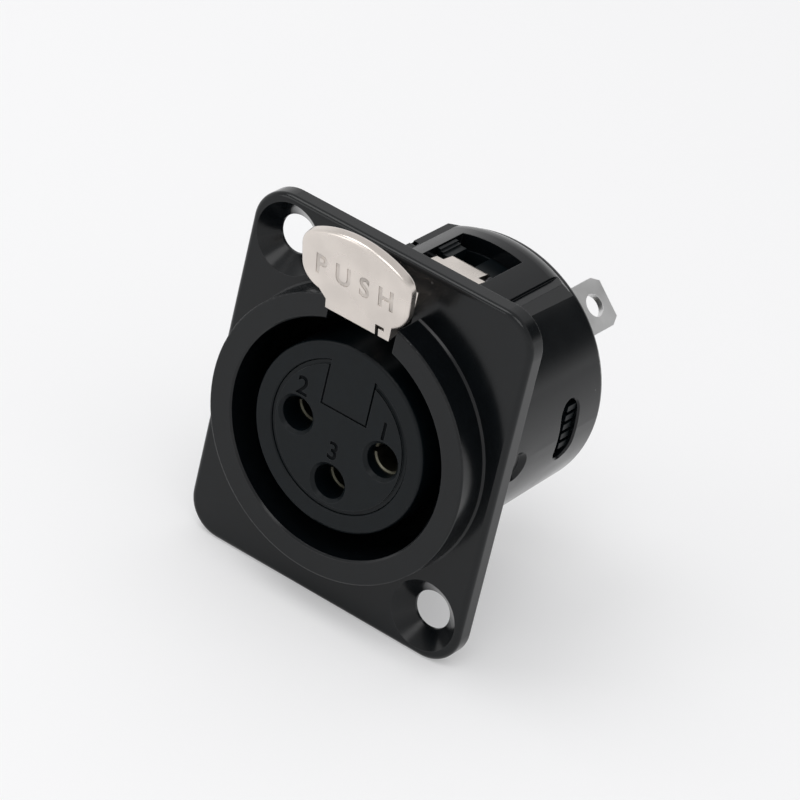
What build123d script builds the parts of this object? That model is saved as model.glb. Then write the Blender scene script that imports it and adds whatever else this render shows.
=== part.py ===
from build123d import *
import math
import os

# Panel-mount audio socket: three contacts, square-ended flange and a push latch.
# Frame: the socket axis runs along Y, the plug enters from the front (-Y), +Z is up
# (latch side), and the origin is on the axis at the rear face of the flange, which
# is the face that lies on the panel. All sizes are in millimetres.

# Clearances
running_clearance = 0.05
seat_clearance = 0.05
press_clearance = 0.01
slide_clearance = 0.08

# Flange
flange_width = 26.0
flange_height = 31.0
flange_thickness = 1.6
flange_corner_radius = 3.0
flange_edge_round = 0.45
screw_offset_x = 9.5
screw_offset_z = 12.0
screw_hole_radius = 1.6
countersink_radius = 2.95

# Front collar round the plug entry
entry_radius = 9.7
collar_wall = 2.0
collar_radius = entry_radius + collar_wall
collar_front_y = -4.45
collar_edge_round = 0.15
collar_foot = 0.15
entry_chamfer = 0.15
latch_gate_half_width = 3.1

# Barrel behind the flange
seat_step = 0.2
seat_radius = entry_radius + seat_step
seat_front_y = 9.4
barrel_wall = 0.7
barrel_draft = 0.25
barrel_rear_radius = seat_radius + barrel_wall
barrel_front_radius = barrel_rear_radius + barrel_draft
barrel_rear_y = 16.8
barrel_edge_round = 0.5

# Raised saddle on top of the barrel, with the latch window through it
saddle_rise = 0.32
saddle_radius = barrel_front_radius + saddle_rise
saddle_half_width = 4.62
saddle_inset = 0.5
saddle_rear_y = barrel_rear_y - saddle_inset
saddle_round_length = 1.85
saddle_round_y = saddle_rear_y - saddle_round_length
saddle_fall = 0.67
ledge_step = 0.88
ledge_half_width = saddle_half_width + ledge_step
ledge_drop = 1.27
ledge_z = saddle_radius - ledge_drop
ledge_draft = 25.0
window_left_x = -3.15
window_right_x = 2.5
window_floor_drop = 1.5
window_floor_z = entry_radius - window_floor_drop

# Hinge of the push latch, under the rear of the window
hinge_y = 10.0
hinge_drop = 1.57
hinge_z = saddle_radius - hinge_drop
window_run = 3.4
window_rear_y = hinge_y + window_run

# Openings in the side of the barrel
side_slot_y = 12.0
side_slot_z = 0.3
side_slot_width = 2.4
side_slot_length = 5.2
side_recess_y = 4.9
side_recess_z = -0.35
side_slot_chamfer = 0.15
side_recess_radius = 1.45
side_recess_floor_radius = 0.95
side_recess_depth = 0.5

# Plastic insert: outer sleeve with its key, and the contact carrier inside it
insert_face_y = -3.94
plug_gap = 1.93
sleeve_radius = entry_radius - plug_gap
sleeve_edge_round = 0.25
sleeve_wall = 1.52
carrier_radius = sleeve_radius - sleeve_wall - seat_clearance
key_half_width = 2.03
key_bottom_z = 2.18
joint_chamfer = 0.1
base_inset = 2.2
base_rear_y = barrel_rear_y - base_inset
snap_inset = 0.4
snap_rib_count = 5
guide_lead = 0.1
guide_front_y = hinge_y - guide_lead
guide_length = 2.4
guide_drop = 0.87
guide_low_step_z = saddle_radius - guide_drop
guide_step_rise = 0.15
guide_root = 1.5

# Contacts
contact_circle_radius = 4.04
contact_angles = (0.0, 180.0, 270.0)
contact_bore_radius = 1.22
contact_wall = 0.48
contact_tube_radius = contact_bore_radius + contact_wall
contact_front_ys = (-2.7, -1.5, -1.5)
contact_bore_end_y = 7.3
contact_mouth = 0.12
contact_slot_width = 0.4
contact_slot_length = 6.5
contact_collar_step = 0.4
contact_collar_radius = contact_tube_radius + contact_collar_step
contact_collar_y = 9.0
contact_collar_thickness = 1.2
contact_tail_radius = 1.15
contact_tail_reach = 3.6
contact_tail_rear_y = barrel_rear_y + contact_tail_reach
solder_cup_wall = 0.35
solder_cup_radius = contact_tail_radius - solder_cup_wall
solder_cup_depth = 3.2
entry_hole_margin = 0.18
entry_hole_radius = contact_bore_radius + entry_hole_margin
entry_hole_chamfer = 0.28

# Rear plate
rear_plate_thickness = 1.7

# Ground lug
lug_angle = 47.0
lug_inset = 0.7
lug_distance = seat_radius - lug_inset
lug_thickness = 0.5
lug_width = 4.1
lug_front_y = 12.6
lug_reach = 4.9
lug_rear_y = barrel_rear_y + lug_reach
lug_hole_inset = 1.95
lug_hole_y = lug_rear_y - lug_hole_inset
lug_hole_radius = 0.95
lug_corner_along = 0.9
lug_corner_across = 0.5

# Push latch: pressed sheet lever with its tab in front of the flange
tab_tilt = 14.3
neck_drop = 0.07
neck_bottom_z = saddle_radius - neck_drop
tab_reference_y = -6.53
tab_reference_z = neck_bottom_z + 1.9
tab_thickness = 1.1
tab_half_width = 5.05
tab_top_z = neck_bottom_z + 7.34
tab_corner_x = 4.2
tab_corner_z = neck_bottom_z + 6.2
tab_side_top_z = neck_bottom_z + 4.75
tab_shoulder_z = neck_bottom_z + 3.3
tab_waist_z = neck_bottom_z + 1.2
tab_lower_half_width = 4.97
tab_left_lobe_x = 2.85
tab_edge_round = 0.35
neck_left_x = -2.45
neck_right_x = 2.17
slot_headroom = 2.2
flange_slot_top_z = neck_bottom_z + slot_headroom
lug_finger_right_x = 3.6
relief_slit_width = 0.3
arm_thickness = 0.85
hook_half_width = 1.2
hook_front_y = 0.4
hook_rear_y = 2.8
hook_reach = 0.85
hook_tip_z = entry_radius - hook_reach
eye_left_x = -1.84
eye_right_x = 1.5
guide_right_x = eye_left_x - slide_clearance
eye_radius = 0.8
pin_radius = 0.4
pin_left_seat = 1.75
pin_right_seat = 1.7
pin_left_x = window_left_x - pin_left_seat
pin_right_x = window_right_x + pin_right_seat

# Latch spring: torsion coil beside the lever on the same pin
spring_wire_radius = 0.13
spring_coil_radius = 0.62
spring_turns = 2
spring_pitch = 0.28
spring_start_x = 1.72
spring_lean = -14.0
spring_lever_leg = 2.4
spring_well_leg = 1.0


def sketch_plane(y):
    """Plane across the axis at depth y, with its X to the right and its Y up."""
    return Plane.XZ.offset(-y)


def slab(profile, front_y, rear_y):
    """A flat profile thickened from front_y back to rear_y."""
    return extrude(sketch_plane(rear_y) * profile, amount=rear_y - front_y)


def block(x_range, y_range, z_range):
    """A block between three pairs of limits."""
    size = [high - low for low, high in (x_range, y_range, z_range)]
    centre = [(high + low) / 2 for low, high in (x_range, y_range, z_range)]
    return Pos(*centre) * Box(*size)


def turned(points):
    """A body turned about the socket axis from (radius, y) points."""
    profile = make_face(Polyline(*[(r, y) for r, y in points], close=True))
    return revolve(profile, Axis.Y)


def rod(radius, front_y, rear_y, x=0.0, z=0.0):
    """A round bar along the socket axis."""
    return slab(Pos(x, z) * Circle(radius), front_y, rear_y)


def cross_rod(radius, left_x, right_x, y, z):
    """A round bar across the socket, along X."""
    bar = Cylinder(radius, right_x - left_x, align=(Align.CENTER, Align.CENTER, Align.MIN))
    return Pos(left_x, y, z) * Rot(0, 90, 0) * bar


def contact_places():
    """The (x, z) of each contact seen from the front, and the y of its front end."""
    for angle, front_y in zip(contact_angles, contact_front_ys):
        turn = math.radians(angle)
        x = contact_circle_radius * math.cos(turn)
        z = contact_circle_radius * math.sin(turn)
        yield x, z, front_y


def make_flange():
    outline = RectangleRounded(flange_width, flange_height, flange_corner_radius)
    flange = slab(outline, -flange_thickness, 0)
    front = flange.faces().sort_by(Axis.Y)[0]
    flange = fillet(front.edges(), flange_edge_round)
    sink_depth = countersink_radius - screw_hole_radius
    for side in (-1, 1):
        x = side * screw_offset_x
        z = -side * screw_offset_z
        flange -= rod(screw_hole_radius, -flange_thickness - 1, 1, x, z)
        cone = Cone(countersink_radius, screw_hole_radius, sink_depth)
        mouth_y = -flange_thickness + sink_depth / 2
        flange -= Pos(x, mouth_y, z) * Rot(-90, 0, 0) * cone
    return flange


def make_collar():
    collar = turned([
        (0, collar_front_y),
        (collar_radius, collar_front_y),
        (collar_radius, -flange_thickness - collar_foot),
        (collar_radius + collar_foot, -flange_thickness),
        (collar_radius + collar_foot, -0.1),
        (0, -0.1),
    ])
    rim = collar.faces().sort_by(Axis.Y)[0]
    return fillet(rim.edges(), collar_edge_round)


def make_barrel():
    barrel = turned([
        (0, -0.2),
        (barrel_front_radius, -0.2),
        (barrel_rear_radius, barrel_rear_y),
        (0, barrel_rear_y),
    ])
    rim = barrel.faces().sort_by(Axis.Y)[-1]
    return fillet(rim.edges(), barrel_edge_round)


def make_saddle():
    """Raised top with a round rear end and a flat ledge along each side."""
    low_radius = saddle_radius - saddle_fall
    front = Polyline((0, -0.2), (saddle_radius, -0.2), (saddle_radius, saddle_round_y))
    fall = TangentArc(
        (saddle_radius, saddle_round_y), (low_radius, saddle_rear_y), tangent=(0, 1)
    )
    back = Polyline((low_radius, saddle_rear_y), (0, saddle_rear_y), (0, -0.2))
    blank = revolve(make_face([*front.edges(), fall, *back.edges()]), Axis.Y)
    low_z = barrel_front_radius * 0.78
    low_x = ledge_half_width + (ledge_z - low_z) * math.tan(math.radians(ledge_draft))
    top_z = saddle_radius + 1
    right = [
        (low_x, low_z),
        (ledge_half_width, ledge_z),
        (saddle_half_width, ledge_z),
        (saddle_half_width, top_z),
    ]
    left = [(-x, z) for x, z in reversed(right)]
    section = make_face(Polyline(*right, *left, close=True))
    ledges = slab(section, -0.2, barrel_rear_y)
    # The ledges stand a little outside the saddle's own radius.
    wide = turned([
        (0, -0.2),
        (saddle_radius + 0.5, -0.2),
        (saddle_radius + 0.5, saddle_round_y),
        (low_radius, saddle_rear_y),
        (0, saddle_rear_y),
    ])
    sides = wide & ledges & block(
        (-low_x - 1, low_x + 1), (-0.3, barrel_rear_y), (low_z - 1, ledge_z)
    )
    return (blank & ledges) + sides


def side_openings():
    """Cutters for the slots and recesses on both sides of the barrel."""
    slot = Pos(0, side_slot_y, side_slot_z) * Rot(0, 90, 0) * extrude(
        SlotOverall(side_slot_length, side_slot_width), amount=3, both=True
    )
    slope = (side_recess_radius - side_recess_floor_radius) / side_recess_depth
    reach = 1.0
    recess = Cone(
        side_recess_floor_radius,
        side_recess_radius + slope * reach,
        side_recess_depth + reach,
        align=(Align.CENTER, Align.CENTER, Align.MIN),
    )
    floor_x = barrel_front_radius - side_recess_depth
    cutters = []
    for side in (-1, 1):
        cutters.append(Pos(side * barrel_front_radius, 0, 0) * slot)
        place = Pos(side * floor_x, side_recess_y, side_recess_z)
        cutters.append(place * Rot(0, side * 90, 0) * recess)
    return cutters


def slot_mouths(housing):
    """Edges where the side slots meet the barrel's skin."""
    half_width = side_slot_width / 2 + 0.1
    half_length = side_slot_length / 2 + 0.1
    for edge in housing.edges():
        points = [edge @ part for part in (0, 0.5, 1)]
        on_skin = all(math.hypot(point.X, point.Z) > barrel_rear_radius for point in points)
        beside = all(
            abs(point.Y - side_slot_y) < half_width and abs(point.Z - side_slot_z) < half_length
            for point in points
        )
        if on_skin and beside:
            yield edge


def make_housing():
    housing = make_flange() + make_collar() + make_barrel() + make_saddle()
    housing -= turned([
        (0, collar_front_y - 1),
        (entry_radius + entry_chamfer, collar_front_y - 1),
        (entry_radius + entry_chamfer, collar_front_y),
        (entry_radius, collar_front_y + entry_chamfer),
        (entry_radius, seat_front_y),
        (seat_radius, seat_front_y),
        (seat_radius, barrel_rear_y + 1),
        (0, barrel_rear_y + 1),
    ])
    above = saddle_radius + 2
    housing -= block(
        (window_left_x, window_right_x), (0, window_rear_y), (window_floor_z, above)
    )
    housing -= block(
        (window_left_x, window_right_x),
        (-flange_thickness - 0.1, 0.1),
        (window_floor_z, flange_slot_top_z),
    )
    housing -= block(
        (-latch_gate_half_width, latch_gate_half_width),
        (collar_front_y - 1, -flange_thickness),
        (window_floor_z, above),
    )
    for cutter in side_openings():
        housing -= cutter
    housing = chamfer(list(slot_mouths(housing)), side_slot_chamfer)
    housing -= cross_rod(
        pin_radius + press_clearance, -saddle_half_width - 1, pin_right_x, hinge_y, hinge_z
    )
    return housing


def key_block(half_width, bottom_z, front_y, rear_y, top_z):
    return block((-half_width, half_width), (front_y, rear_y), (bottom_z, top_z))


def make_insert_sleeve():
    bore = carrier_radius + seat_clearance
    base_radius = seat_radius - seat_clearance
    sleeve = turned([
        (bore + joint_chamfer, insert_face_y),
        (sleeve_radius, insert_face_y),
        (sleeve_radius, seat_front_y),
        (base_radius, seat_front_y),
        (base_radius, base_rear_y),
        (bore, base_rear_y),
        (bore, insert_face_y + joint_chamfer),
    ])
    rim = sleeve.edges().filter_by(GeomType.CIRCLE).filter_by_position(
        Axis.Y, insert_face_y - 0.01, insert_face_y + 0.01
    ).sort_by(SortBy.RADIUS)[-1]
    sleeve = fillet(rim, sleeve_edge_round)
    sleeve += key_block(
        key_half_width, key_bottom_z, insert_face_y, seat_front_y, bore + 0.3
    )
    # Clearance for the latch barrel and its spring, open to the window above.
    well_floor_z = hinge_z - eye_radius - 0.25
    well_rear_y = hinge_y + eye_radius + 0.35
    above = seat_radius + 1
    sleeve -= block(
        (window_left_x - 0.1, window_right_x + 0.6),
        (seat_front_y - 0.1, well_rear_y),
        (well_floor_z, above),
    )
    sleeve -= block(
        (window_left_x - 0.1, eye_left_x + 1.6),
        (well_rear_y - 0.1, window_rear_y - 0.1),
        (well_floor_z, above),
    )
    # Guide block beside the eye, with three steps along it.
    left_x = window_left_x + slide_clearance
    step_width = (guide_right_x - left_x) / 4
    rear_y = guide_front_y + guide_length
    for index, right_x in enumerate((guide_right_x, left_x + 2 * step_width, left_x + step_width)):
        sleeve += block(
            (left_x, right_x),
            (guide_front_y, rear_y),
            (base_radius - guide_root, guide_low_step_z + guide_step_rise * index),
        )
    sleeve -= cross_rod(
        pin_radius + slide_clearance, pin_left_x - 0.1, pin_right_x + 0.1, hinge_y, hinge_z
    )
    # Ribbed snaps that stand in the side slots of the barrel, a little below its skin.
    snap_width = side_slot_width / 2 - slide_clearance
    snap_length = side_slot_length - 1.0
    rib_pitch = snap_length / snap_rib_count
    root_x = base_radius - 0.6
    tip_x = barrel_rear_radius - snap_inset
    low_z = side_slot_z - snap_length / 2
    for side in (-1, 1):
        for index in range(snap_rib_count):
            centre_z = low_z + rib_pitch * (index + 0.5)
            sleeve += block(
                sorted((side * root_x, side * tip_x)),
                (side_slot_y, side_slot_y + snap_width),
                (centre_z - rib_pitch * 0.3, centre_z + rib_pitch * 0.3),
            )
    # The collars of the contacts and the bosses behind them stay clear of the sleeve.
    for x, z, _ in contact_places():
        sleeve -= rod(
            contact_collar_radius + seat_clearance, contact_collar_y, base_rear_y + 1, x, z
        )
    return sleeve - ground_lug_slot()


def make_contact_carrier():
    carrier = turned([
        (0, insert_face_y),
        (carrier_radius - joint_chamfer, insert_face_y),
        (carrier_radius, insert_face_y + joint_chamfer),
        (carrier_radius, base_rear_y),
        (0, base_rear_y),
    ])
    carrier -= key_block(
        key_half_width + seat_clearance,
        key_bottom_z - seat_clearance,
        insert_face_y - 1,
        seat_front_y + seat_clearance,
        carrier_radius + 1,
    )
    for x, z, front_y in contact_places():
        hole = turned([
            (0, insert_face_y - 0.1),
            (entry_hole_radius + entry_hole_chamfer + 0.1, insert_face_y - 0.1),
            (entry_hole_radius, insert_face_y + entry_hole_chamfer),
            (entry_hole_radius, front_y - seat_clearance),
            (contact_tube_radius + seat_clearance, front_y - seat_clearance),
            (contact_tube_radius + seat_clearance, contact_collar_y),
            (contact_collar_radius + seat_clearance, contact_collar_y),
            (contact_collar_radius + seat_clearance, base_rear_y + 1),
            (0, base_rear_y + 1),
        ])
        carrier -= Pos(x, 0, z) * hole
    return carrier


def make_contact(x, z, front_y):
    """A slotted socket contact with its collar and solder cup."""
    collar_rear_y = contact_collar_y + contact_collar_thickness
    contact = turned([
        (contact_bore_radius + contact_mouth, front_y),
        (contact_tube_radius, front_y),
        (contact_tube_radius, contact_collar_y),
        (contact_collar_radius, contact_collar_y),
        (contact_collar_radius, collar_rear_y),
        (contact_tail_radius, collar_rear_y),
        (contact_tail_radius, contact_tail_rear_y),
        (0, contact_tail_rear_y),
        (0, contact_bore_end_y),
        (contact_bore_radius, contact_bore_end_y),
        (contact_bore_radius, front_y + contact_mouth),
    ])
    half_slot = contact_slot_width / 2
    reach = contact_tube_radius + 1
    contact -= block(
        (-reach, reach),
        (front_y - 1, front_y + contact_slot_length),
        (-half_slot, half_slot),
    )
    cup_floor_y = contact_tail_rear_y - solder_cup_depth
    contact -= rod(solder_cup_radius, cup_floor_y, contact_tail_rear_y + 1)
    contact -= block(
        (-reach, reach),
        (cup_floor_y + 0.6, contact_tail_rear_y + 1),
        (solder_cup_radius / 2, reach),
    )
    return Pos(x, 0, z) * contact


def lug_plane():
    """Plane of the ground lug: X runs across the lug and Y runs back along it."""
    turn = math.radians(lug_angle)
    outward = (math.cos(turn), 0, math.sin(turn))
    across = (math.sin(turn), 0, -math.cos(turn))
    centre = tuple(lug_distance * part for part in outward)
    return Plane(origin=centre, x_dir=across, z_dir=outward)


def lug_blank(clearance, front_y, rear_y):
    """Straight strip in the plane of the lug, thickened inwards."""
    plane = lug_plane()
    along = 1 if plane.y_dir.Y > 0 else -1
    length = rear_y - front_y
    centre = along * (front_y + rear_y) / 2
    strip = Pos(0, centre) * Rectangle(lug_width + 2 * clearance, length)
    outer = extrude(plane * strip, amount=clearance)
    return outer + extrude(plane * strip, amount=-lug_thickness - clearance)


def ground_lug_slot():
    return lug_blank(slide_clearance, lug_front_y - slide_clearance, lug_rear_y)


def make_ground_lug():
    plane = lug_plane()
    along = 1 if plane.y_dir.Y > 0 else -1
    half = lug_width / 2
    points = [
        (-half, along * lug_front_y),
        (half, along * lug_front_y),
        (half, along * (lug_rear_y - lug_corner_along)),
        (half - lug_corner_across, along * lug_rear_y),
        (lug_corner_across - half, along * lug_rear_y),
        (-half, along * (lug_rear_y - lug_corner_along)),
    ]
    strip = make_face(Polyline(*points, close=True))
    strip -= Pos(0, along * lug_hole_y) * Circle(lug_hole_radius)
    return extrude(plane * strip, amount=-lug_thickness)


def make_rear_plate():
    front_y = base_rear_y + seat_clearance
    plate = rod(seat_radius - seat_clearance, front_y, front_y + rear_plate_thickness)
    boss_front_y = contact_collar_y + contact_collar_thickness + seat_clearance
    for x, z, _ in contact_places():
        plate += rod(contact_collar_radius - seat_clearance, boss_front_y, front_y + 0.2, x, z)
    for x, z, _ in contact_places():
        plate -= rod(
            contact_tail_radius + seat_clearance,
            boss_front_y - 1,
            front_y + rear_plate_thickness + 1,
            x,
            z,
        )
    return plate - ground_lug_slot()


def tab_plane():
    """Front face of the push tab, tilted so that its top leans away from the panel."""
    return Plane(
        origin=(0, tab_reference_y, tab_reference_z),
        x_dir=(1, 0, 0),
        z_dir=Vector(0, -1, 0).rotate(Axis.X, tab_tilt),
    )


def make_tab():
    lean = math.cos(math.radians(tab_tilt))

    def up(z):
        return (z - tab_reference_z) / lean

    corner = (tab_corner_x, up(tab_corner_z))
    side_top = (tab_half_width, up(tab_side_top_z))
    side_foot = (tab_lower_half_width, up(tab_shoulder_z))
    waist = up(tab_waist_z)
    bottom = up(neck_bottom_z)

    def mirrored(point):
        return -point[0], point[1]

    crown = ThreePointArc(mirrored(corner), (0, up(tab_top_z)), corner)
    fall = crown % 1
    right_corner = TangentArc(corner, side_top, tangent=fall)
    left_corner = TangentArc(mirrored(corner), mirrored(side_top), tangent=(-fall.X, fall.Y))
    right_lobe = TangentArc(side_foot, (lug_finger_right_x, waist - 0.1), tangent=(0, -1))
    left_foot = (-tab_left_lobe_x, waist)
    left_lobe = TangentArc(mirrored(side_foot), left_foot, tangent=(0, -1))
    neck = Polyline(
        (lug_finger_right_x, waist - 0.1),
        (lug_finger_right_x - 0.15, bottom),
        (neck_left_x, bottom),
        (neck_left_x, waist - 0.4),
        left_foot,
    )
    outline = make_face([
        crown, right_corner, Line(side_top, side_foot), right_lobe, *neck.edges(),
        left_lobe, Line(mirrored(side_foot), mirrored(side_top)), left_corner,
    ])
    slit = Pos(neck_right_x + relief_slit_width / 2, bottom + 0.3) * Rectangle(
        relief_slit_width, 1.3
    )
    slit += Pos(neck_right_x + 0.4, bottom + 0.85) * Rectangle(0.8, relief_slit_width)
    tab = extrude(tab_plane() * outline, amount=-tab_thickness)
    facing = tab_plane().z_dir
    rim = [
        edge for edge in tab.edges()
        if edge.center().Z > tab_waist_z and abs((edge % 0.5).dot(facing)) < 0.5
    ]
    tab = fillet(rim, tab_edge_round)
    return tab - extrude(tab_plane() * slit, amount=-tab_thickness * 2, both=True)


def make_push_latch():
    foot_y = tab_reference_y + (tab_reference_z - neck_bottom_z) * math.tan(
        math.radians(tab_tilt)
    )
    back_y = foot_y + tab_thickness
    eye_top_z = hinge_z + eye_radius
    arm_top_z = neck_bottom_z + arm_thickness
    side_view = make_face(Polyline(
        (foot_y + 0.02, neck_bottom_z),
        (back_y, arm_top_z + 0.6),
        (back_y + 0.35, arm_top_z + 0.1),
        (back_y + 0.9, arm_top_z - 0.05),
        (hinge_y, eye_top_z),
        (hinge_y, eye_top_z - arm_thickness),
        close=True,
    ))
    across = Plane.YZ.offset(neck_left_x)
    arm = extrude(across * side_view, amount=neck_right_x - neck_left_x)
    # The arm narrows to the eye, between the guide block and the spring.
    for limits in ((neck_left_x - 1, eye_left_x), (eye_right_x, neck_right_x + 1)):
        arm -= block(limits, (hinge_y - eye_radius - 0.3, hinge_y + 2), (5, 15))
    eye = cross_rod(eye_radius, eye_left_x, eye_right_x, hinge_y, hinge_z)
    hook_view = make_face(Polyline(
        (hook_front_y, hook_tip_z + 1.0),
        (hook_front_y + 1.3, hook_tip_z),
        (hook_rear_y - 0.4, hook_tip_z),
        (hook_rear_y, hook_tip_z + 0.4),
        (hook_rear_y, neck_bottom_z),
        (hook_front_y, neck_bottom_z),
        close=True,
    ))
    hook = extrude(Plane.YZ.offset(-hook_half_width) * hook_view, amount=2 * hook_half_width)
    latch = make_tab() + arm + eye + hook
    return latch - cross_rod(
        pin_radius + running_clearance, eye_left_x - 1, eye_right_x + 1, hinge_y, hinge_z
    )


def make_latch_pin():
    return cross_rod(pin_radius, pin_left_x, pin_right_x, hinge_y, hinge_z)


def make_latch_spring():
    """Torsion coil with one leg under the lever and one on the floor of the well."""
    path = Helix(spring_pitch, spring_turns * spring_pitch, spring_coil_radius)
    section = Plane(origin=path @ 0, z_dir=path % 0) * Circle(spring_wire_radius)
    spring = sweep(section, path=path)
    foot = (Align.CENTER, Align.CENTER, Align.MIN)
    lever_leg = Cylinder(spring_wire_radius, spring_lever_leg, align=foot)
    well_leg = Cylinder(spring_wire_radius, spring_well_leg, align=foot)
    spring += Pos(*(path @ 0)) * Rot(90, 0, 0) * lever_leg
    spring += Pos(*(path @ 1)) * Rot(-90, 0, 0) * well_leg
    on_pin = Pos(spring_start_x, hinge_y, hinge_z)
    return on_pin * Rot(spring_lean, 0, 0) * Rot(0, 90, 0) * spring


parts = {
    "housing": make_housing(),
    "insert_sleeve": make_insert_sleeve(),
    "contact_carrier": make_contact_carrier(),
    "rear_plate": make_rear_plate(),
    "ground_lug": make_ground_lug(),
    "push_latch": make_push_latch(),
    "latch_pin": make_latch_pin(),
    "latch_spring": make_latch_spring(),
}
for number, (x, z, front_y) in enumerate(contact_places(), start=1):
    parts[f"contact_{number}"] = make_contact(x, z, front_y)

os.makedirs("parts", exist_ok=True)
for name, shape in parts.items():
    export_step(shape, f"parts/{name}.step")
    print(name, round(shape.volume, 2))
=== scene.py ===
import logging
import math
from dataclasses import dataclass, field, replace
from enum import Enum

import bpy
from mathutils import Matrix, Vector


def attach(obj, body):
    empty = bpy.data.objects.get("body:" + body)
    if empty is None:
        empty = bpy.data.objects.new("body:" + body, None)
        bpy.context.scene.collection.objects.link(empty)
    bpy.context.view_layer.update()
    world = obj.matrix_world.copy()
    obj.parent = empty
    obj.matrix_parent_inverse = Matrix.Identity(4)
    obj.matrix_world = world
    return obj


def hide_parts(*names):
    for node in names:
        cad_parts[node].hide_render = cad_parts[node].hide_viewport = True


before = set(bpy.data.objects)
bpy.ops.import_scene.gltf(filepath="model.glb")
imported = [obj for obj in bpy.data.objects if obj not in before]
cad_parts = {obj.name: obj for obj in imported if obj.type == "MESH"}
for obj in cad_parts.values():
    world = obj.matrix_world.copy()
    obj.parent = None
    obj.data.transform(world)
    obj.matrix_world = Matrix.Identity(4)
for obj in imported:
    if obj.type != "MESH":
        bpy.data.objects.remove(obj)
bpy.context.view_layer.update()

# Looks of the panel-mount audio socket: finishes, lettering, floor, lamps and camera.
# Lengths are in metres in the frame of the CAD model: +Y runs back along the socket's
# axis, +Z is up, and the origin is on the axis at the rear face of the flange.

log = logging.getLogger("socket")

Colour = tuple[float, float, float]
Point = tuple[float, float, float]
Limits = tuple[float, float, float, float]

MM = 0.001
MICRON = 0.000001
# corners closer than this are one corner
MERGE_GAP = 0.2 * MICRON
# faces that meet at less than this angle are shaded as one surface
SMOOTH_BELOW = math.radians(32)
# height of a capital letter as a share of the font's size
CAPITAL_SHARE = 0.7
DUST_GREY: Colour = (0.35, 0.35, 0.34)


class Body(Enum):
    """The moving groups of the CAD model that pieces ride on."""

    SOCKET = "socket"
    LATCH = "latch"


class Slot(Enum):
    """The record's material slots; no piece in this script is put into them."""

    INSERT = "insert_black"
    LATCH = "nickel_steel"


class NodeSheet:
    """The nodes of one material or node group."""

    def __init__(self, tree: bpy.types.NodeTree) -> None:
        """Starts from an empty tree.

        Args:
            tree: the node tree to fill.
        """
        self.tree = tree
        tree.nodes.clear()

    def add(self, kind: str, **settings: object) -> bpy.types.Node:
        """Adds a node.

        Args:
            kind: the node's type name.
            **settings: attributes of the node.

        Returns:
            The new node.
        """
        node = self.tree.nodes.new(kind)
        for name, value in settings.items():
            setattr(node, name, value)
        return node

    def join(self, source: bpy.types.NodeSocket, target: bpy.types.NodeSocket) -> None:
        """Links an output to an input."""
        self.tree.links.new(source, target)

    def feed(self, target: bpy.types.NodeSocket, value: object) -> None:
        """Links a socket to an input, or sets the input to a plain value.

        Args:
            target: the input.
            value: a socket or a plain value.
        """
        if isinstance(value, bpy.types.NodeSocket):
            self.join(value, target)
        else:
            target.default_value = value

    def number(self, kind: str, first: object, second: object) -> bpy.types.NodeSocket:
        """Adds a Math node.

        Args:
            kind: the operation.
            first: a socket or a number.
            second: a socket or a number.

        Returns:
            The result's socket.
        """
        node = self.add("ShaderNodeMath", operation=kind)
        self.feed(node.inputs[0], first)
        self.feed(node.inputs[1], second)
        return node.outputs[0]

    def remap(self, source: bpy.types.NodeSocket, limits: Limits) -> bpy.types.NodeSocket:
        """Adds a clamped Map Range node.

        Args:
            source: the value to map.
            limits: from low, from high, to low, to high.

        Returns:
            The mapped value's socket.
        """
        node = self.add("ShaderNodeMapRange")
        self.join(source, node.inputs["Value"])
        for name, value in zip(("From Min", "From Max", "To Min", "To Max"), limits):
            node.inputs[name].default_value = value
        return node.outputs["Result"]

    def noise(self, vector: bpy.types.NodeSocket, scale: object, detail: float = 2.0
              ) -> bpy.types.NodeSocket:
        """Adds a Noise Texture.

        Args:
            vector: where the noise is read.
            scale: a socket or a number.
            detail: how many finer layers are added.

        Returns:
            The noise value's socket.
        """
        node = self.add("ShaderNodeTexNoise")
        node.inputs["Detail"].default_value = detail
        self.join(vector, node.inputs["Vector"])
        self.feed(node.inputs["Scale"], scale)
        return node.outputs["Fac"]

    def blend(self, share: bpy.types.NodeSocket, first: object, second: Colour
              ) -> bpy.types.NodeSocket:
        """Adds a colour Mix node.

        Args:
            share: how much of the second colour shows.
            first: a socket or a colour.
            second: a colour.

        Returns:
            The mixed colour's socket.
        """
        node = self.add("ShaderNodeMix", data_type="RGBA")
        self.join(share, node.inputs["Factor"])
        self.feed(node.inputs["A"], (*first, 1) if isinstance(first, tuple) else first)
        self.feed(node.inputs["B"], (*second, 1))
        return node.outputs["Result"]

    def relief(self, height: bpy.types.NodeSocket, depth: float, normal: bpy.types.NodeSocket
               ) -> bpy.types.NodeSocket:
        """Adds a Bump node.

        Args:
            height: the height's socket.
            depth: how deep a height of 1 is.
            normal: the surface normal that the bumps stand on.

        Returns:
            The bumped normal's socket.
        """
        node = self.add("ShaderNodeBump")
        node.inputs["Distance"].default_value = depth
        self.join(height, node.inputs["Height"])
        self.join(normal, node.inputs["Normal"])
        return node.outputs["Normal"]

    def shared(self, tree: bpy.types.NodeTree, vector: bpy.types.NodeSocket, **values: float
               ) -> bpy.types.Node:
        """Adds a node group.

        Args:
            tree: the group's tree.
            vector: where the group's textures are read.
            **values: numbers for its inputs.

        Returns:
            The group's node.
        """
        node = self.add("ShaderNodeGroup", node_tree=tree)
        self.join(vector, node.inputs["Vector"])
        for name, value in values.items():
            node.inputs[name].default_value = value
        return node


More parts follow.
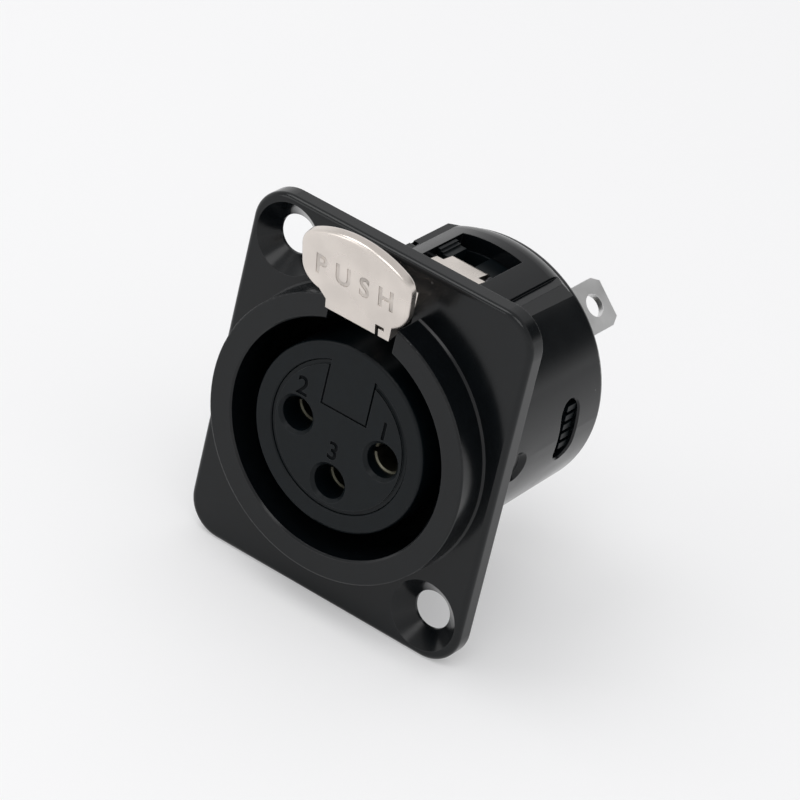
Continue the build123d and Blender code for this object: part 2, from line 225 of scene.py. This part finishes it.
class SurfaceGroups:
    """Node groups that more than one finish uses.

    A name that ends in _band holds the limits of a Map Range node.
    """

    fine_detail: float = 3.0
    wide_grain_scale: float = 0.17
    wide_grain_weight: float = 0.8
    grain_band: Limits = (0.35, 0.65, 0.0, 1.0)
    smudge_scale: float = 220.0
    smudge_detail: float = 4.0
    smudge_band: Limits = (0.4, 0.7, 0.0, 1.0)
    speck_density: float = 2.6
    speck_size_band: Limits = (0.03, 0.055, 1.0, 0.0)
    speck_choice_band: Limits = (0.88, 0.9, 0.0, 1.0)
    line_pitch: float = 0.08 * MM
    line_stretch: float = 14.0
    edge_samples: int = 6
    edge_facing_band: Limits = (0.985, 0.90, 0.0, 1.0)
    patch_scale: float = 900.0
    patch_band: Limits = (0.35, 0.6, 0.35, 1.0)

    def __init__(self) -> None:
        """Builds each group once."""
        self.grain = self._grain()
        self.marks = self._marks()
        self.drawn = self._drawn()
        self.edges = self._edges()

    @staticmethod
    def _new(name: str, inputs: dict[str, float | None], outputs: tuple[str, ...]
             ) -> tuple[bpy.types.NodeTree, NodeSheet, bpy.types.Node, bpy.types.Node]:
        """Makes a group with its sockets.

        Args:
            name: the group's name.
            inputs: default of each input; None makes a vector input.
            outputs: names of the outputs; "Normal" is a vector and the rest are values.

        Returns:
            The tree, its sheet, and its input and output nodes.
        """
        tree = bpy.data.node_groups.new(name, "ShaderNodeTree")
        for label, default in inputs.items():
            kind = "NodeSocketVector" if default is None else "NodeSocketFloat"
            socket = tree.interface.new_socket(label, in_out="INPUT", socket_type=kind)
            if default is not None:
                socket.default_value = default
        for label in outputs:
            kind = "NodeSocketVector" if label == "Normal" else "NodeSocketFloat"
            tree.interface.new_socket(label, in_out="OUTPUT", socket_type=kind)
        sheet = NodeSheet(tree)
        return tree, sheet, sheet.add("NodeGroupInput"), sheet.add("NodeGroupOutput")

    def _grain(self) -> bpy.types.NodeTree:
        """Fine grain of a cast or moulded skin: rounded bumps of a given size.

        Returns:
            The group's tree.
        """
        tree, sheet, into, out = self._new(
            "surface_grain", {"Vector": None, "Size": 0.2 * MM}, ("Height", "Mask")
        )
        scale = sheet.number("DIVIDE", 1.0, into.outputs["Size"])
        fine = sheet.noise(into.outputs["Vector"], scale, self.fine_detail)
        wide_scale = sheet.number("MULTIPLY", scale, self.wide_grain_scale)
        wide = sheet.noise(into.outputs["Vector"], wide_scale)
        wide_height = sheet.number("MULTIPLY", wide, self.wide_grain_weight)
        sheet.join(sheet.number("ADD", fine, wide_height), out.inputs["Height"])
        sheet.join(sheet.remap(wide, self.grain_band), out.inputs["Mask"])
        return tree

    def _marks(self) -> bpy.types.NodeTree:
        """Faint smudges from handling and a few specks of dust.

        Returns:
            The group's tree.
        """
        tree, sheet, into, out = self._new(
            "handling_marks", {"Vector": None, "Scale": self.smudge_scale}, ("Smudge", "Speck")
        )
        cloud = sheet.noise(into.outputs["Vector"], into.outputs["Scale"], self.smudge_detail)
        sheet.join(sheet.remap(cloud, self.smudge_band), out.inputs["Smudge"])
        cells = sheet.add("ShaderNodeTexVoronoi", feature="F1")
        sheet.join(into.outputs["Vector"], cells.inputs["Vector"])
        density = sheet.number("MULTIPLY", into.outputs["Scale"], self.speck_density)
        sheet.join(density, cells.inputs["Scale"])
        near = sheet.remap(cells.outputs["Distance"], self.speck_size_band)
        tint = sheet.add("ShaderNodeSeparateColor")
        sheet.join(cells.outputs["Color"], tint.inputs["Color"])
        rare = sheet.remap(tint.outputs["Red"], self.speck_choice_band)
        sheet.join(sheet.number("MULTIPLY", near, rare), out.inputs["Speck"])
        return tree

    def _drawn(self) -> bpy.types.NodeTree:
        """Fine lines left by rolling and pressing along one direction.

        Returns:
            The group's tree.
        """
        inputs = {"Vector": None, "Pitch": self.line_pitch, "Stretch": self.line_stretch}
        tree, sheet, into, out = self._new("drawn_lines", inputs, ("Lines",))
        across = sheet.number("DIVIDE", 1.0, into.outputs["Pitch"])
        along = sheet.number("DIVIDE", across, into.outputs["Stretch"])
        spread = sheet.add("ShaderNodeCombineXYZ")
        for axis, scale in (("X", across), ("Y", along), ("Z", along)):
            sheet.join(scale, spread.inputs[axis])
        stretched = sheet.add("ShaderNodeVectorMath", operation="MULTIPLY")
        sheet.join(into.outputs["Vector"], stretched.inputs[0])
        sheet.join(spread.outputs[0], stretched.inputs[1])
        lines = sheet.noise(stretched.outputs[0], 1.0, self.fine_detail)
        sheet.join(lines, out.inputs["Lines"])
        return tree

    def _edges(self) -> bpy.types.NodeTree:
        """Edges broken to a small radius, and a patchy mask of the edges that take each finish's
        edge colour: partly rubbed wear, partly a painted highlight.

        Returns:
            The group's tree.
        """
        tree, sheet, into, out = self._new(
            "worn_and_highlit_edges", {"Vector": None, "Radius": 0.08 * MM}, ("Mask", "Normal")
        )
        broken = sheet.add("ShaderNodeBevel", samples=self.edge_samples)
        sheet.join(into.outputs["Radius"], broken.inputs["Radius"])
        sheet.join(broken.outputs[0], out.inputs["Normal"])
        facing = sheet.add("ShaderNodeVectorMath", operation="DOT_PRODUCT")
        sheet.join(broken.outputs[0], facing.inputs[0])
        sheet.join(sheet.add("ShaderNodeNewGeometry").outputs["Normal"], facing.inputs[1])
        edge = sheet.remap(facing.outputs["Value"], self.edge_facing_band)
        patch = sheet.noise(into.outputs["Vector"], self.patch_scale)
        mask = sheet.number("MULTIPLY", edge, sheet.remap(patch, self.patch_band))
        sheet.join(mask, out.inputs["Mask"])
        return tree


@dataclass(frozen=True)
class Finish:
    """One surface finish, made into a material once.

    The grain and the drawn lines are shader bumps whose sizes and depths are in metres.
    Past tail_from, along +Y, the colour turns into tail_colour; 0 leaves the tail out.
    """

    name: str
    colour: Colour
    roughness: float
    grain_size: float
    grain_depth: float
    metallic: float = 0.0
    specular: float = 0.5
    roughness_spread: float = 0.05
    shade_spread: float = 0.12
    speck_amount: float = 0.0
    drawn_depth: float = 0.0
    drawn_turn: float = 0.0
    edge_radius: float = 0.06 * MM
    # colour laid along the edges: partly rubbed wear, partly a painted highlight (lighter than the
    # face on most finishes)
    edge_colour: Colour = (0.05, 0.05, 0.052)
    edge_wear_and_highlight: float = 0.5
    tail_from: float = 0.0
    tail_fade: float = 0.5 * MM
    tail_colour: Colour = (0.5, 0.5, 0.5)

    def material(self, groups: SurfaceGroups) -> bpy.types.Material:
        """Builds the material.

        Args:
            groups: the shared node groups.

        Returns:
            The material.
        """
        made = bpy.data.materials.new(self.name)
        made.use_nodes = True
        sheet = NodeSheet(made.node_tree)
        skin = sheet.add("ShaderNodeBsdfPrincipled")
        sheet.join(skin.outputs[0], sheet.add("ShaderNodeOutputMaterial").inputs["Surface"])
        skin.inputs["Metallic"].default_value = self.metallic
        skin.inputs["Specular IOR Level"].default_value = self.specular

        place = sheet.add("ShaderNodeTexCoord").outputs["Object"]
        grain = sheet.shared(groups.grain, place, Size=self.grain_size)
        marks = sheet.shared(groups.marks, place)
        edges = sheet.shared(groups.edges, place, Radius=self.edge_radius)

        colour = self._colour(sheet, place, grain.outputs["Mask"], edges.outputs["Mask"])
        if self.speck_amount:
            amount = sheet.number("MULTIPLY", marks.outputs["Speck"], self.speck_amount)
            colour = sheet.blend(amount, colour, DUST_GREY)
        sheet.join(colour, skin.inputs["Base Color"])

        low = self.roughness - self.roughness_spread
        high = self.roughness + self.roughness_spread
        rough = sheet.remap(marks.outputs["Smudge"], (0.0, 1.0, low, high))
        sheet.join(rough, skin.inputs["Roughness"])

        normal = sheet.relief(grain.outputs["Height"], self.grain_depth, edges.outputs["Normal"])
        if self.drawn_depth:
            turned = sheet.add("ShaderNodeMapping")
            turned.inputs["Rotation"].default_value = (0, self.drawn_turn, 0)
            sheet.join(place, turned.inputs["Vector"])
            drawn = sheet.shared(groups.drawn, turned.outputs[0])
            normal = sheet.relief(drawn.outputs["Lines"], self.drawn_depth, normal)
        sheet.join(normal, skin.inputs["Normal"])
        return made

    def _colour(self, sheet: NodeSheet, place: bpy.types.NodeSocket,
                patches: bpy.types.NodeSocket, edge: bpy.types.NodeSocket
                ) -> bpy.types.NodeSocket:
        """Mixes the random tones, the tail, and the edge colour, which is partly rubbed wear and
        partly a painted highlight.

        Args:
            sheet: the material's nodes.
            place: object coordinates.
            patches: mask between the darker and the lighter shade.
            edge: mask of the edges that take the edge colour (rubbed wear and painted highlight).

        Returns:
            The colour's socket.
        """
        dark, light = (
            tuple(part * (1 + step) for part in self.colour)
            for step in (-self.shade_spread, self.shade_spread)
        )
        colour = sheet.blend(patches, dark, light)
        if self.tail_from:
            depth = sheet.add("ShaderNodeSeparateXYZ")
            sheet.join(place, depth.inputs[0])
            limits = (self.tail_from, self.tail_from + self.tail_fade, 0.0, 1.0)
            colour = sheet.blend(sheet.remap(depth.outputs["Y"], limits), colour, self.tail_colour)
        # the edges take the edge colour: partly rubbed wear, partly a painted highlight
        highlight_and_wear_share = sheet.number("MULTIPLY", edge, self.edge_wear_and_highlight)
        return sheet.blend(highlight_and_wear_share, colour, self.edge_colour)


SHELL_PAINT = Finish(
    "shell_satin_black", (0.0021, 0.0030, 0.0038), roughness=0.19, roughness_spread=0.03,
    specular=0.32, grain_size=0.14 * MM, grain_depth=0.35 * MICRON, speck_amount=0.25,
    edge_colour=(0.060, 0.061, 0.064),
)
INSERT_PLASTIC = Finish(
    "insert_matt_black", (0.0016, 0.0034, 0.0046), roughness=0.40, specular=0.19,
    grain_size=0.16 * MM, grain_depth=2.2 * MICRON,
    edge_colour=(0.050, 0.052, 0.054), edge_wear_and_highlight=0.6,
)
SLEEVE_PLASTIC = replace(
    INSERT_PLASTIC, name="sleeve_matt_black", edge_colour=(0.030, 0.032, 0.034), edge_wear_and_highlight=0.3,
)
# near-black painted shade for the faces cut by the sunk digits and the groove along the key
SUNK_SHADE_BLACK = Finish(
    "digit_floor_painted_shade", (0.0009, 0.0018, 0.0027), roughness=0.6, specular=0.1,
    grain_size=0.16 * MM, grain_depth=1.0 * MICRON, edge_wear_and_highlight=0.0,
)
NICKEL_PLATE = Finish(
    "latch_warm_nickel", (0.705, 0.650, 0.602), metallic=1.0, roughness=0.3,
    grain_size=0.6 * MM, grain_depth=3.0 * MICRON, shade_spread=0.07,
    drawn_depth=3.0 * MICRON, drawn_turn=0.7,
    edge_colour=(0.80, 0.76, 0.72), edge_wear_and_highlight=0.6,
)
# the sunk letters' faces: a rougher, duller finish, and a darker colour that is painted shade in
# the stamped strokes
SHADED_STAMPED_NICKEL = Finish(
    "letter_dull_nickel_painted_shade", (0.575, 0.53, 0.49), metallic=1.0, roughness=0.38,
    grain_size=0.3 * MM, grain_depth=1.5 * MICRON, shade_spread=0.2, edge_wear_and_highlight=0.0,
)
TINNED_SHEET = Finish(
    "lug_matt_tin", (0.74, 0.74, 0.735), metallic=1.0, roughness=0.48, roughness_spread=0.07,
    grain_size=0.4 * MM, grain_depth=2.5 * MICRON, shade_spread=0.08,
    drawn_depth=1.5 * MICRON, edge_colour=(0.80, 0.80, 0.795),
)
# the contacts' body colour is darkened as painted shade for the part inside the carrier; past
# tail_from the solder cups have their own tinned colour
SHADED_CONTACT_PLATE = Finish(
    "contact_dull_plate_painted_shade", (0.15, 0.145, 0.11), metallic=1.0, roughness=0.45,
    roughness_spread=0.06, grain_size=0.3 * MM, grain_depth=1.5 * MICRON, shade_spread=0.1,
    edge_colour=(0.10, 0.095, 0.07), tail_from=16.3 * MM, tail_colour=(0.66, 0.62, 0.50),
)
SPRING_WIRE = Finish(
    "pin_blued_steel", (0.075, 0.075, 0.08), metallic=1.0, roughness=0.3,
    grain_size=0.3 * MM, grain_depth=1.0 * MICRON, shade_spread=0.1,
    edge_colour=(0.16, 0.16, 0.165),
)


@dataclass
class FinishShelf:
    """Keeps each finish's material, so that pieces share it."""

    groups: SurfaceGroups
    made: dict[str, bpy.types.Material] = field(default_factory=dict)

    def dress(self, piece: bpy.types.Object, *finishes: Finish) -> None:
        """Gives a piece its finishes, with every face in the last of them.

        Args:
            piece: a mesh object.
            *finishes: the finish of each material slot.
        """
        piece.data.materials.clear()
        for finish in finishes:
            if finish.name not in self.made:
                self.made[finish.name] = finish.material(self.groups)
            piece.data.materials.append(self.made[finish.name])
        for face in piece.data.polygons:
            face.material_index = len(finishes) - 1


def choose(*things: bpy.types.Object) -> None:
    """Selects only these objects.

    Args:
        *things: the objects; the first becomes the active one.
    """
    bpy.ops.object.select_all(action="DESELECT")
    for thing in things:
        thing.select_set(True)
    bpy.context.view_layer.objects.active = things[0]


def joined(pieces: list[bpy.types.Object]) -> bpy.types.Object:
    """Joins pieces into the first of them.

    Args:
        pieces: the mesh objects.

    Returns:
        The joined piece.
    """
    choose(*pieces)
    bpy.ops.object.join()
    return bpy.context.object


def merged_copy(node: str, name: str) -> bpy.types.Object:
    """Copies a CAD node and merges its loose triangles.

    Args:
        node: the CAD node's name.
        name: the copy's name.

    Returns:
        The copy, free of its body.
    """
    choose(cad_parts[node])
    bpy.ops.object.duplicate()
    copy = bpy.context.object
    copy.parent = None
    copy.name = name
    for key in list(copy.keys()):
        del copy[key]
    bpy.ops.object.mode_set(mode="EDIT")
    bpy.ops.mesh.select_all(action="SELECT")
    bpy.ops.mesh.remove_doubles(threshold=MERGE_GAP)
    bpy.ops.mesh.customdata_custom_splitnormals_clear()
    bpy.ops.object.mode_set(mode="OBJECT")
    return copy


def letter(text: str, height: float, depth: float, slope: float, thinning: float,
           narrowing: float = 1.0) -> bpy.types.Object:
    """Makes the cutter of one sunk character, lying in XY with its foot on the X axis.

    Args:
        text: the character.
        height: its height.
        depth: how deep it cuts.
        slope: how much narrower each side gets on the way down.
        thinning: how far the font's outline is drawn in.
        narrowing: the character's width as a share of the font's.

    Returns:
        A closed mesh, centred on X, whose widest outline lies in Z = 0.
    """
    bpy.ops.object.select_all(action="DESELECT")
    bpy.ops.object.text_add(location=(0, 0, 0))
    mark = bpy.context.object
    mark.data.body = text
    mark.data.align_x = "CENTER"
    mark.data.size = height / CAPITAL_SHARE
    mark.data.resolution_u = 6
    mark.data.offset = -thinning
    mark.data.extrude = max(depth - slope, 0.0)
    mark.data.bevel_depth = slope
    mark.data.bevel_resolution = 1
    bpy.ops.object.convert(target="MESH")
    mark = bpy.context.object
    across = [vertex.co.x for vertex in mark.data.vertices]
    upward = [vertex.co.y for vertex in mark.data.vertices]
    scale = height / (max(upward) - min(upward))
    mark.matrix_world = Matrix.Diagonal((scale * narrowing, scale, 1, 1)) @ Matrix.Translation(
        (-(min(across) + max(across)) / 2, -min(upward), 0)
    )
    choose(mark)
    bpy.ops.object.transform_apply(location=True, rotation=True, scale=True)
    bpy.ops.object.mode_set(mode="EDIT")
    bpy.ops.mesh.select_all(action="SELECT")
    bpy.ops.mesh.remove_doubles(threshold=MERGE_GAP)
    bpy.ops.mesh.normals_make_consistent(inside=False)
    bpy.ops.object.mode_set(mode="OBJECT")
    return mark


def settle(piece: bpy.types.Object, place: Matrix) -> None:
    """Moves a piece to its place and puts the place into its mesh.

    Args:
        piece: a mesh object.
        place: the move.
    """
    piece.matrix_world = place @ piece.matrix_world
    choose(piece)
    bpy.ops.object.transform_apply(location=True, rotation=True, scale=True)


def cut(piece: bpy.types.Object, tool: bpy.types.Object) -> None:
    """Cuts a tool's shape out of a piece and removes the tool.

    Args:
        piece: the piece; its new faces get the tool's material.
        tool: a closed mesh.
    """
    sink = piece.modifiers.new("sunk_shape", "BOOLEAN")
    sink.operation = "DIFFERENCE"
    sink.solver = "EXACT"
    sink.material_mode = "TRANSFER"
    sink.object = tool
    choose(piece)
    bpy.ops.object.modifier_apply(modifier=sink.name)
    bpy.data.objects.remove(tool)


def smooth(piece: bpy.types.Object) -> None:
    """Shades a piece's curves smooth and keeps its flats flat.

    Args:
        piece: a mesh object.
    """
    choose(piece)
    bpy.ops.object.shade_smooth_by_angle(angle=SMOOTH_BELOW)
    even = piece.modifiers.new("even_normals", "WEIGHTED_NORMAL")
    even.keep_sharp = True
    bpy.ops.object.modifier_apply(modifier=even.name)


@dataclass
class PushTab:
    """The latch lever with its word pressed into the tab."""

    tilt: float = math.radians(14.3)
    reference: Point = (0.0, -6.53 * MM, 13.0 * MM)
    word: str = "PUSH"
    first_x: float = -3.0 * MM
    pitch: float = 1.98 * MM
    foot: float = 0.92 * MM
    height: float = 1.88 * MM
    depth: float = 0.1 * MM
    slope: float = 0.08 * MM
    thinning: float = 0.005 * MM
    narrowing: float = 0.84

    def face_plane(self) -> Matrix:
        """Places a sheet on the tab's front face.

        Returns:
            The move: X across, Y up the tab, Z towards the viewer.
        """
        lean, rise = math.sin(self.tilt), math.cos(self.tilt)
        across, up, out = Vector((1, 0, 0)), Vector((0, -lean, rise)), Vector((0, -rise, -lean))
        return Matrix.Translation(self.reference) @ Matrix((across, up, out)).transposed().to_4x4()

    def word_cutter(self) -> bpy.types.Object:
        """Sets the word's letters along the tab.

        Returns:
            The cutter.
        """
        marks = []
        for index, text in enumerate(self.word):
            mark = letter(
                text, self.height, self.depth, self.slope, self.thinning, self.narrowing
            )
            x = self.first_x + self.pitch * index
            settle(mark, self.face_plane() @ Matrix.Translation((x, self.foot, 0)))
            marks.append(mark)
        return joined(marks)

    def build(self, shelf: FinishShelf) -> list[bpy.types.Object]:
        """Makes the stamped lever.

        Args:
            shelf: the finishes.

        Returns:
            The pieces made.
        """
        lever = merged_copy("push_latch", "stamped_lever")
        shelf.dress(lever, NICKEL_PLATE)
        word = self.word_cutter()
        # the letters' cut faces take the darker letter finish: painted shade in the strokes
        shelf.dress(word, NICKEL_PLATE, SHADED_STAMPED_NICKEL)
        cut(lever, word)
        smooth(lever)
        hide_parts("push_latch")
        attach(lever, Body.LATCH.value)
        return [lever]


@dataclass(frozen=True)
class Digit:
    """One sunk digit on the carrier's front face."""

    text: str
    middle_x: float
    foot_z: float
    height: float


@dataclass
class NumberedCarrier:
    """The contact carrier with sunk digits, a stepped rim and a groove along the key."""

    face_y: float = -3.94 * MM
    digits: tuple[Digit, ...] = (
        Digit("1", 3.74 * MM, 1.78 * MM, 1.55 * MM),
        Digit("2", -3.98 * MM, 1.82 * MM, 1.62 * MM),
        Digit("3", -0.16 * MM, -2.04 * MM, 1.55 * MM),
    )
    depth: float = 0.13 * MM
    slope: float = 0.03 * MM
    thinning: float = -0.012 * MM
    rim_radius: float = 6.1 * MM
    step_width: float = 0.24 * MM
    step_depth: float = 0.17 * MM
    disc_sides: int = 160
    pocket_half_width: float = 2.08 * MM
    pocket_foot: float = 2.13 * MM
    groove_width: float = 0.11 * MM
    groove_depth: float = 0.12 * MM
    # how far the groove's cutter reaches into the empty pocket
    groove_overlap: float = 0.06 * MM
    # how far a cutter passes the carrier's rim
    reach: float = 1.0 * MM

    def disc(self, radius: float, thickness: float) -> bpy.types.Object:
        """Makes a disc about the socket's axis, centred in the carrier's front face.

        Args:
            radius: its radius.
            thickness: its size in Y.

        Returns:
            The disc.
        """
        bpy.ops.object.select_all(action="DESELECT")
        bpy.ops.mesh.primitive_cylinder_add(
            vertices=self.disc_sides, radius=radius, depth=thickness,
            location=(0, self.face_y, 0), rotation=(math.radians(90), 0, 0),
        )
        bpy.ops.object.transform_apply(location=True, rotation=True, scale=True)
        return bpy.context.object

    def block(self, half_width: float, low: float, high: float, thickness: float
              ) -> bpy.types.Object:
        """Makes an upright block, centred in the carrier's front face.

        Args:
            half_width: half its width across X.
            low: its lower end in Z.
            high: its upper end in Z.
            thickness: its size in Y.

        Returns:
            The block.
        """
        bpy.ops.object.select_all(action="DESELECT")
        bpy.ops.mesh.primitive_cube_add(size=1, location=(0, self.face_y, (low + high) / 2))
        made = bpy.context.object
        made.scale = (2 * half_width, thickness, high - low)
        bpy.ops.object.transform_apply(location=True, rotation=True, scale=True)
        return made

    def step_cutter(self) -> bpy.types.Object:
        """Makes the ring that cuts the step round the front edge.

        Returns:
            The cutter.
        """
        ring = self.disc(self.rim_radius + self.reach, 2 * self.step_depth)
        cut(ring, self.disc(self.rim_radius - self.step_width, 4 * self.step_depth))
        return ring

    def groove_cutter(self) -> bpy.types.Object:
        """Makes the U shape that cuts the groove along the key's pocket.

        Returns:
            The cutter.
        """
        groove = self.block(
            self.pocket_half_width + self.groove_width, self.pocket_foot - self.groove_width,
            self.rim_radius + self.reach, 2 * self.groove_depth,
        )
        cut(groove, self.block(
            self.pocket_half_width - self.groove_overlap, self.pocket_foot + self.groove_overlap,
            self.rim_radius + 2 * self.reach, 4 * self.groove_depth,
        ))
        return groove

    def digit_cutter(self) -> bpy.types.Object:
        """Sets the digits beside their contact holes.

        Returns:
            The cutter.
        """
        upright = Matrix.Rotation(math.radians(90), 4, "X")
        marks = []
        for digit in self.digits:
            mark = letter(digit.text, digit.height, self.depth, self.slope, self.thinning)
            place = Matrix.Translation((digit.middle_x, self.face_y, digit.foot_z))
            settle(mark, place @ upright)
            marks.append(mark)
        return joined(marks)

    def build(self, shelf: FinishShelf) -> list[bpy.types.Object]:
        """Makes the numbered carrier.

        Args:
            shelf: the finishes.

        Returns:
            The pieces made.
        """
        carrier = merged_copy("contact_carrier", "numbered_carrier")
        shelf.dress(carrier, INSERT_PLASTIC)
        step = self.step_cutter()
        shelf.dress(step, INSERT_PLASTIC)
        cut(carrier, step)
        # the faces cut by the groove and the digits take a near-black colour: painted shade in
        # these recesses
        for tool in (self.groove_cutter(), self.digit_cutter()):
            shelf.dress(tool, INSERT_PLASTIC, SUNK_SHADE_BLACK)
            cut(carrier, tool)
        smooth(carrier)
        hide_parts("contact_carrier")
        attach(carrier, Body.SOCKET.value)
        return [carrier]


@dataclass
class CadFinishes:
    """Dresses the CAD nodes whose shapes stay as they are."""

    plan: tuple[tuple[str, Finish], ...] = (
        ("housing", SHELL_PAINT),
        ("insert_sleeve", SLEEVE_PLASTIC),
        ("contact_carrier", INSERT_PLASTIC),
        ("rear_plate", INSERT_PLASTIC),
        ("push_latch", NICKEL_PLATE),
        ("ground_lug", TINNED_SHEET),
        ("latch_pin", SPRING_WIRE),
        ("latch_spring", SPRING_WIRE),
        ("contact_1", SHADED_CONTACT_PLATE),
        ("contact_2", SHADED_CONTACT_PLATE),
        ("contact_3", SHADED_CONTACT_PLATE),
    )

    def build(self, shelf: FinishShelf) -> list[bpy.types.Object]:
        """Dresses each node.

        Args:
            shelf: the finishes.

        Returns:
            The CAD nodes.
        """
        for node, finish in self.plan:
            shelf.dress(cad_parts[node], finish)
        return [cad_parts[node] for node, _ in self.plan]


@dataclass(frozen=True)
class Lamp:
    """A round soft lamp that faces the origin."""

    name: str
    place: Point
    size: float
    power: float

    def hang(self) -> None:
        """Adds the lamp to the scene."""
        data = bpy.data.lights.new(self.name, "AREA")
        data.shape = "DISK"
        data.size = self.size
        data.energy = self.power
        lamp = bpy.data.objects.new(self.name, data)
        bpy.context.scene.collection.objects.link(lamp)
        lamp.location = self.place
        lamp.rotation_euler = (-Vector(self.place)).to_track_quat("-Z", "Y").to_euler()


@dataclass
class Stage:
    """Pale floor, soft lamps and the camera."""

    floor_z: float = -15.52 * MM
    floor_half: float = 3.0
    floor_shade: Colour = (0.93, 0.93, 0.935)
    # how much of the floor's look is real light and shadow; the rest is an even shade
    shadow_weight: float = 0.7
    sky_high: Colour = (0.70, 0.70, 0.705)
    sky_low: Colour = (0.98, 0.98, 0.985)
    sky_span: tuple[float, float] = (0.15, 0.6)
    card_shade: Colour = (0.10, 0.10, 0.10)
    card_aim: Point = (0.50, 0.76, 0.40)
    card_spread: tuple[float, float] = (0.925, 0.985)
    lamps: tuple[Lamp, ...] = (
        Lamp("overhead", (-0.25, -0.1, 0.5), size=0.3, power=0.6),
        Lamp("front_box", (0.12, -0.30, 0.55), size=0.35, power=0.65),
        Lamp("front_fill", (-0.35, -0.45, 0.25), size=0.3, power=0.3),
    )
    camera_place: Point = (0.159719, -0.287730, 0.191171)
    camera_right: Point = (0.795559, 0.569841, 0.205831)
    camera_up: Point = (-0.440054, 0.309943, 0.842786)
    camera_back: Point = (0.416458, -0.761063, 0.497339)
    lens: float = 225.0
    sensor: float = 36.0
    clip: tuple[float, float] = (0.01, 20.0)

    @staticmethod
    def seen_rays(sheet: NodeSheet) -> bpy.types.NodeSocket:
        """Gives 1 for the rays that show the floor to the camera, in a mirror or through glass.

        Args:
            sheet: the node tree to fill.

        Returns:
            The mask's socket.
        """
        path = sheet.add("ShaderNodeLightPath")
        shown = sheet.number("MAXIMUM", path.outputs["Is Camera Ray"],
                             path.outputs["Is Glossy Ray"])
        return sheet.number("MAXIMUM", shown, path.outputs["Is Transmission Ray"])

    def floor(self) -> None:
        """Makes the floor, which keeps the object's shadow."""
        bpy.ops.object.select_all(action="DESELECT")
        bpy.ops.mesh.primitive_plane_add(size=2 * self.floor_half, location=(0, 0, self.floor_z))
        floor = bpy.context.object
        floor.name = "floor"
        bpy.ops.object.transform_apply(location=True, rotation=False, scale=False)
        paper = bpy.data.materials.new("pale_paper")
        paper.use_nodes = True
        sheet = NodeSheet(paper.node_tree)
        out = sheet.add("ShaderNodeOutputMaterial")
        skin = sheet.add("ShaderNodeBsdfDiffuse")
        skin.inputs["Color"].default_value = (*self.floor_shade, 1)
        even = sheet.add("ShaderNodeEmission")
        even.inputs["Color"].default_value = (*self.floor_shade, 1)
        mix = sheet.add("ShaderNodeMixShader")
        even_share = sheet.number("MULTIPLY", self.seen_rays(sheet), 1 - self.shadow_weight)
        sheet.join(even_share, mix.inputs[0])
        sheet.join(skin.outputs[0], mix.inputs[1])
        sheet.join(even.outputs[0], mix.inputs[2])
        sheet.join(mix.outputs[0], out.inputs["Surface"])
        floor.data.materials.append(paper)

    def sky(self) -> None:
        """Lights the scene softly from above, with a dark card behind it to the right."""
        world = bpy.data.worlds.new("studio")
        bpy.context.scene.world = world
        world.use_nodes = True
        sheet = NodeSheet(world.node_tree)
        aim = sheet.add("ShaderNodeTexCoord").outputs["Generated"]
        parts = sheet.add("ShaderNodeSeparateXYZ")
        sheet.join(aim, parts.inputs[0])
        height = sheet.remap(parts.outputs["Z"], (*self.sky_span, 0.0, 1.0))
        near = sheet.add("ShaderNodeVectorMath", operation="DOT_PRODUCT")
        near.inputs[1].default_value = Vector(self.card_aim).normalized()
        sheet.join(aim, near.inputs[0])
        card = sheet.remap(near.outputs["Value"], (*self.card_spread, 0.0, 1.0))
        shade = sheet.blend(card, sheet.blend(height, self.sky_low, self.sky_high),
                            self.card_shade)
        light = sheet.add("ShaderNodeBackground")
        sheet.join(shade, light.inputs["Color"])
        sheet.join(light.outputs[0], sheet.add("ShaderNodeOutputWorld").inputs["Surface"])

    def camera(self) -> None:
        """Sets up the long lens at the photograph's viewpoint."""
        data = bpy.data.cameras.new("long_lens")
        data.sensor_width = self.sensor
        data.lens = self.lens
        data.clip_start, data.clip_end = self.clip
        camera = bpy.data.objects.new("long_lens", data)
        bpy.context.scene.collection.objects.link(camera)
        turn = Matrix((self.camera_right, self.camera_up, self.camera_back)).transposed()
        camera.matrix_world = Matrix.Translation(self.camera_place) @ turn.to_4x4()
        bpy.context.scene.camera = camera

    def build(self) -> None:
        """Sets the whole stage."""
        self.floor()
        self.sky()
        for lamp in self.lamps:
            lamp.hang()
        self.camera()
        bpy.context.scene.view_settings.view_transform = "Standard"


def main() -> None:
    """Builds the stage and every piece in order."""
    logging.basicConfig(level=logging.INFO, format="%(name)s: %(message)s")
    Stage().build()
    shelf = FinishShelf(SurfaceGroups())
    for assembly in (CadFinishes(), NumberedCarrier(), PushTab()):
        for piece in assembly.build(shelf):
            log.info("%s: %s", type(assembly).__name__, piece.name)


if __name__ == "__main__":
    main()
